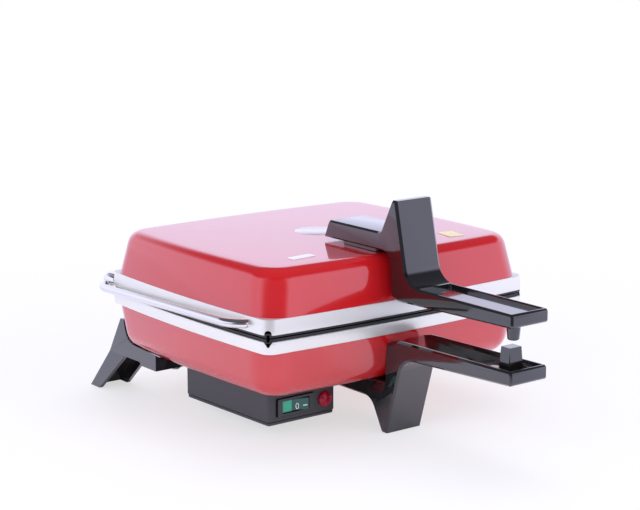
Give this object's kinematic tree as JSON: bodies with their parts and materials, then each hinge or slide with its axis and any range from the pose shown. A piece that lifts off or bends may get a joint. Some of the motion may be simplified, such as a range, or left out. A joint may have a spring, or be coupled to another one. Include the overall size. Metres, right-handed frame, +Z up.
{
  "type": "sandwich maker",
  "caption": "Low rectangular sandwich maker with red pressed shells, chrome bands, a wire bail hinge and black tray-shaped handles.",
  "frame": {"origin": "on the table, under the centre of the body's plan; the feet stand at z=0", "axes": "+X to the object's right, +Y to the hinge at the back, +Z up"},
  "size_m": [0.248, 0.3386, 0.1566],
  "materials": {
    "red_paint": "gloss",
    "chrome": "polished",
    "cast_aluminium": "non-stick coated",
    "bakelite": "gloss",
    "box_plastic": "satin",
    "green_plastic": "gloss",
    "red_lens": "gloss",
    "steel": "satin",
    "aluminised_sheet": "satin",
    "ceramic": "matt",
    "disc_metal": "satin"
  },
  "bodies": {
    "base": {"base_shell": "red_paint", "base_band": "chrome", "base_plate": "cast_aluminium", "base_heater": "steel", "base_heater_clips": "steel", "base_reflector": "aluminised_sheet", "thermostat": "steel", "plate_screws": "steel", "base_handle": "bakelite", "rear_leg_left": "bakelite", "rear_leg_right": "bakelite", "hinge_lug_left": "chrome", "hinge_lug_right": "chrome", "switch_box": "box_plastic", "switch_box_cover": "box_plastic", "box_cover_screws": "steel", "switch_bezel": "bakelite", "lamp_lens": "red_lens", "lamp_holder": "box_plastic", "terminal_block": "ceramic", "cord_gland": "bakelite", "underside_screws": "steel", "underside_nuts": "steel"},
    "rocker": {"switch_rocker": "green_plastic"},
    "bail": {"bail": "chrome"},
    "lid": {"lid_shell": "red_paint", "lid_band": "chrome", "lid_plate": "cast_aluminium", "lid_heater": "steel", "lid_heater_clips": "steel", "lid_reflector": "aluminised_sheet", "lid_handle": "bakelite", "lid_hood_left": "chrome", "lid_hood_right": "chrome", "lid_centre_screw": "steel", "lid_disc": "disc_metal", "thermal_fuse": "steel", "handle_spacer": "bakelite", "handle_screws": "steel", "closing_peg": "bakelite"}
  },
  "joints": [
    {"name": "bail_swing", "type": "hinge", "parent": "base", "child": "bail", "pos_m": [0, 0.106, 0.0783], "axis": [-1, 0, 0], "range_deg": [0, 180]},
    {"name": "lid_tilt", "type": "hinge", "parent": "bail", "child": "lid", "pos_m": [0, -0.075, 0.0856], "axis": [1, 0, 0], "range_deg": [0, 1.7]},
    {"name": "rocker_press", "type": "hinge", "parent": "base", "child": "rocker", "pos_m": [-0.0629, -0.055, 0.0202], "axis": [0, 0, 1], "range_deg": [0, 14]}
  ]
}
